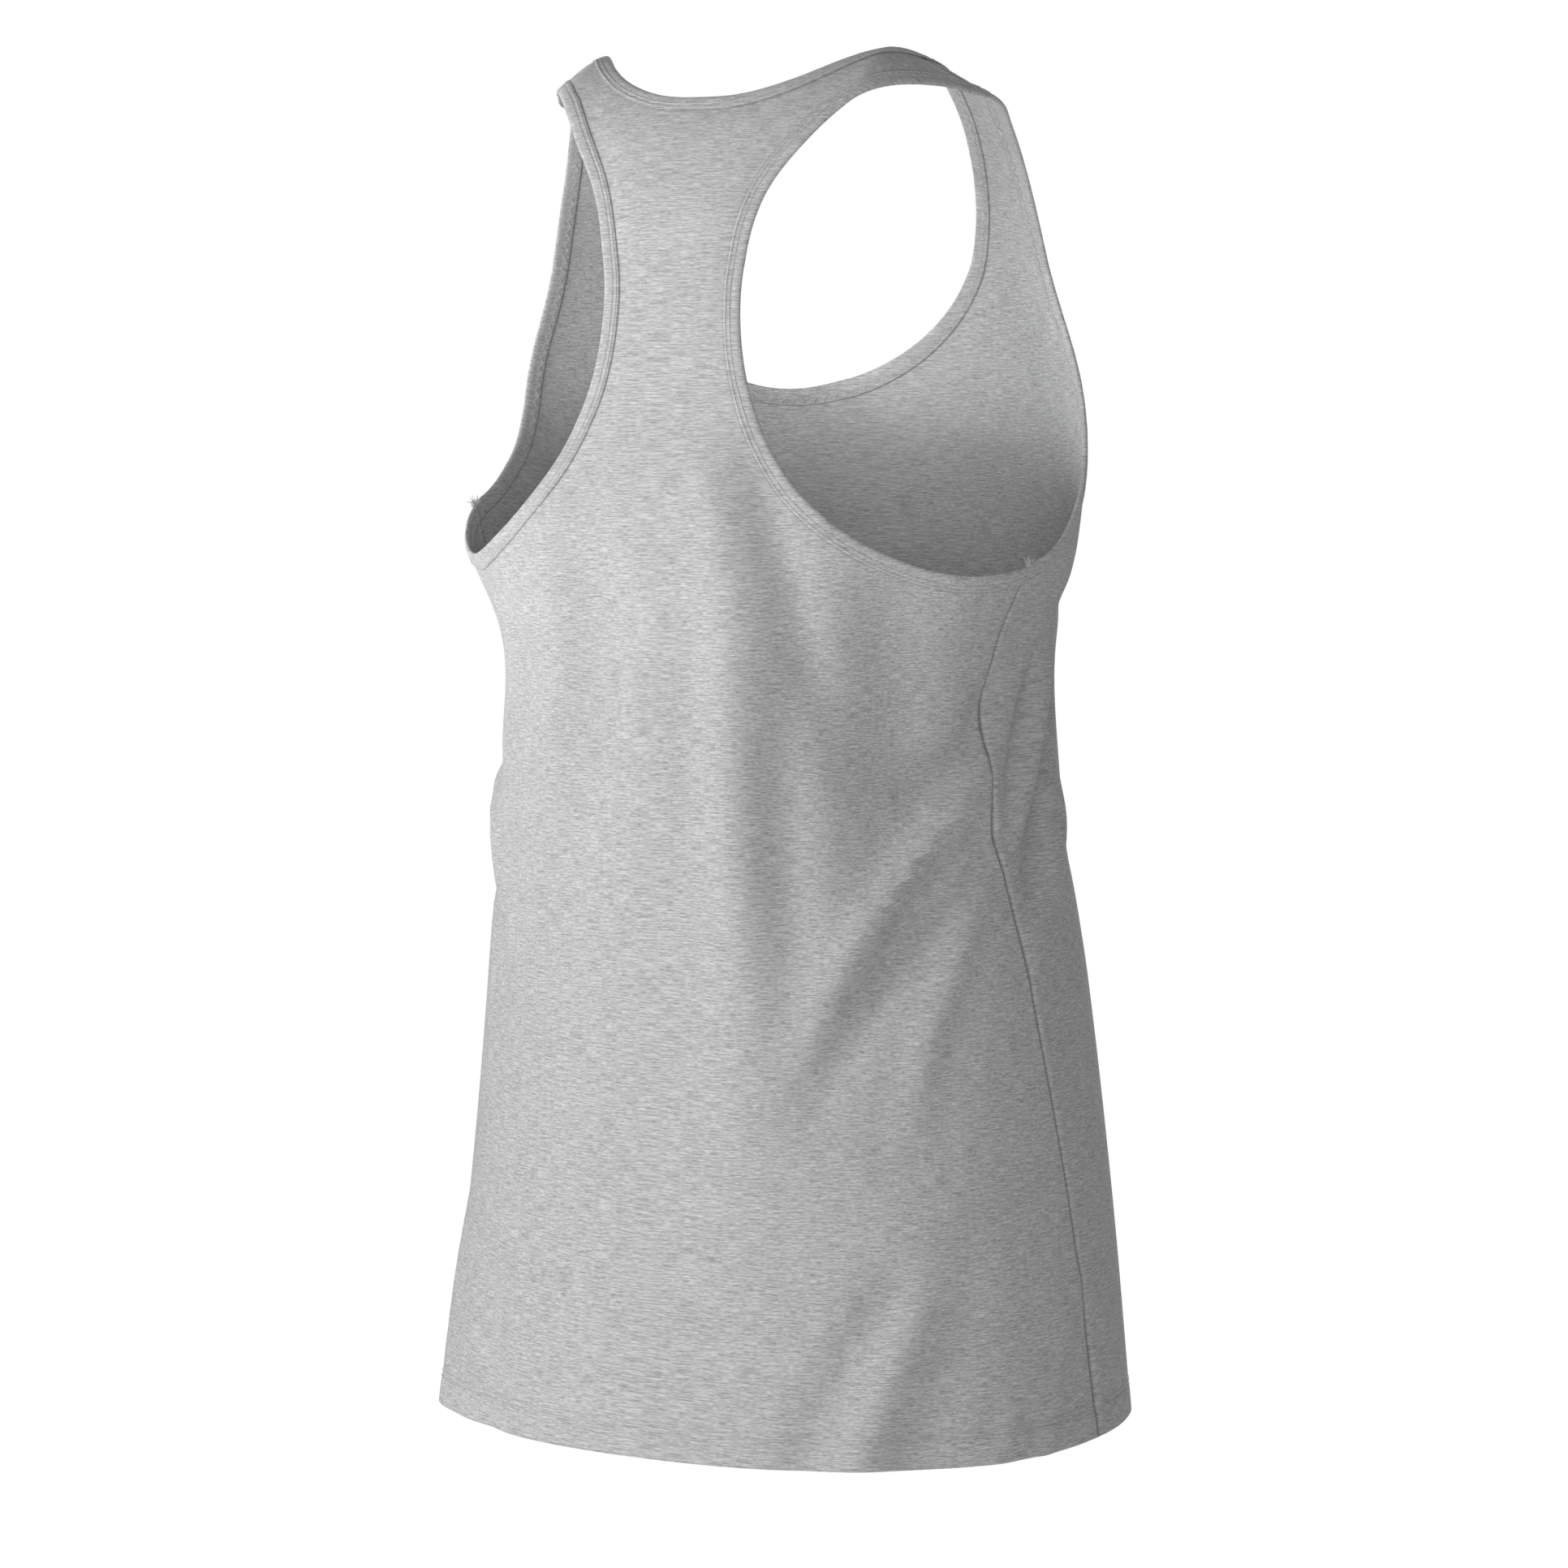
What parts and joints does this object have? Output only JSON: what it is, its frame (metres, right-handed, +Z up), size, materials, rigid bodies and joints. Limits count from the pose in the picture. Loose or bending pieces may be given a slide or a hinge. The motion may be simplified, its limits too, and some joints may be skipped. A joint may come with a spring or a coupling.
{
  "type": "tank top",
  "caption": "Women's sleeveless racerback tank top in heather grey jersey, worn and filled out, with bound neck and armholes and a turned-up hem.",
  "frame": {"origin": "midway between the two straps on the shoulder line, at the high point of the shoulder", "axes": "+Z up, +X to the wearer's left, the wearer's front faces -Y"},
  "size_m": [0.3448, 0.2948, 0.6654],
  "materials": {
    "front_panel": "light heather grey single jersey",
    "back_panel": "light heather grey single jersey",
    "neck_binding": "folded self-fabric binding",
    "armhole_binding_left": "folded self-fabric binding",
    "armhole_binding_right": "folded self-fabric binding"
  },
  "bodies": {
    "root": {"front_panel": "front_panel", "back_panel": "back_panel", "neck_binding": "neck_binding", "armhole_binding_left": "armhole_binding_left", "armhole_binding_right": "armhole_binding_right"}
  },
  "joints": []
}
